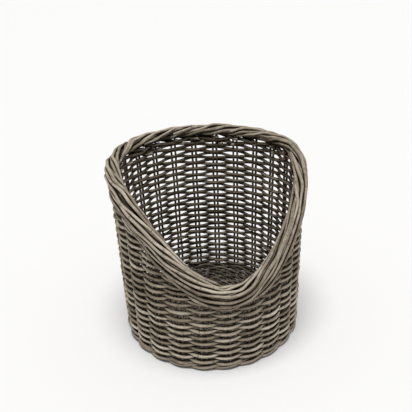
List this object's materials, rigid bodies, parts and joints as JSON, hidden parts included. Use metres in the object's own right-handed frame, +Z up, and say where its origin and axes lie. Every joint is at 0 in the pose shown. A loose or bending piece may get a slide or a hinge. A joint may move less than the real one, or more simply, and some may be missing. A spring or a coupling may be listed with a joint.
{
  "type": "wicker log basket",
  "caption": "Round open log basket woven from grey-washed rattan cane, with a tall back, a deep scooped front and a thick rolled border.",
  "frame": {"origin": "on the floor, at the middle of the basket's outline", "axes": "+Z up; the scooped front faces -Y, and +X is to the right of someone who looks at the front"},
  "size_m": [0.514, 0.514, 0.4994],
  "materials": {
    "wall_cane": "dry grey-washed rattan, matt",
    "border_cane": "dry grey-washed rattan, matt with worn lighter ridges",
    "stake_cane": "dry darker rattan, matt",
    "base_cane": "dry rattan, matt",
    "foot_cane": "dry grey-washed rattan, worn underneath"
  },
  "bodies": {
    "root": {"foot_strand_outer": "foot_cane", "foot_strand_inner": "foot_cane", "base_sticks_along": "base_cane", "base_sticks_across": "base_cane", "base_weave_upper": "base_cane", "base_weave_lower": "base_cane", "stake_pair_01": "stake_cane", "stake_pair_02": "stake_cane", "stake_pair_03": "stake_cane", "stake_pair_04": "stake_cane", "stake_pair_05": "stake_cane", "stake_pair_06": "stake_cane", "stake_pair_07": "stake_cane", "stake_pair_08": "stake_cane", "stake_pair_09": "stake_cane", "stake_pair_10": "stake_cane", "stake_pair_11": "stake_cane", "stake_pair_12": "stake_cane", "stake_pair_13": "stake_cane", "stake_pair_14": "stake_cane", "stake_pair_15": "stake_cane", "stake_pair_16": "stake_cane", "stake_pair_17": "stake_cane", "stake_pair_18": "stake_cane", "stake_pair_19": "stake_cane", "stake_pair_20": "stake_cane", "stake_pair_21": "stake_cane", "stake_pair_22": "stake_cane", "stake_pair_23": "stake_cane", "stake_pair_24": "stake_cane", "weave_course_01": "wall_cane", "weave_course_02": "wall_cane", "weave_course_03": "wall_cane", "weave_course_04": "wall_cane", "weave_course_05": "wall_cane", "weave_course_06": "wall_cane", "weave_course_07": "wall_cane", "weave_course_08": "wall_cane", "weave_course_09": "wall_cane", "weave_course_10": "wall_cane", "weave_course_11": "wall_cane", "weave_course_12": "wall_cane", "weave_course_13": "wall_cane", "weave_course_14": "wall_cane", "weave_course_15": "wall_cane", "weave_course_16": "wall_cane", "weave_course_17": "wall_cane", "weave_course_18": "wall_cane", "weave_course_19": "wall_cane", "weave_course_20": "wall_cane", "weave_course_21": "wall_cane", "weave_course_22": "wall_cane", "border_core": "border_cane", "border_canes_01": "border_cane", "border_canes_02": "border_cane", "border_canes_03": "border_cane", "border_canes_04": "border_cane", "border_canes_05": "border_cane", "border_canes_06": "border_cane"}
  },
  "joints": []
}
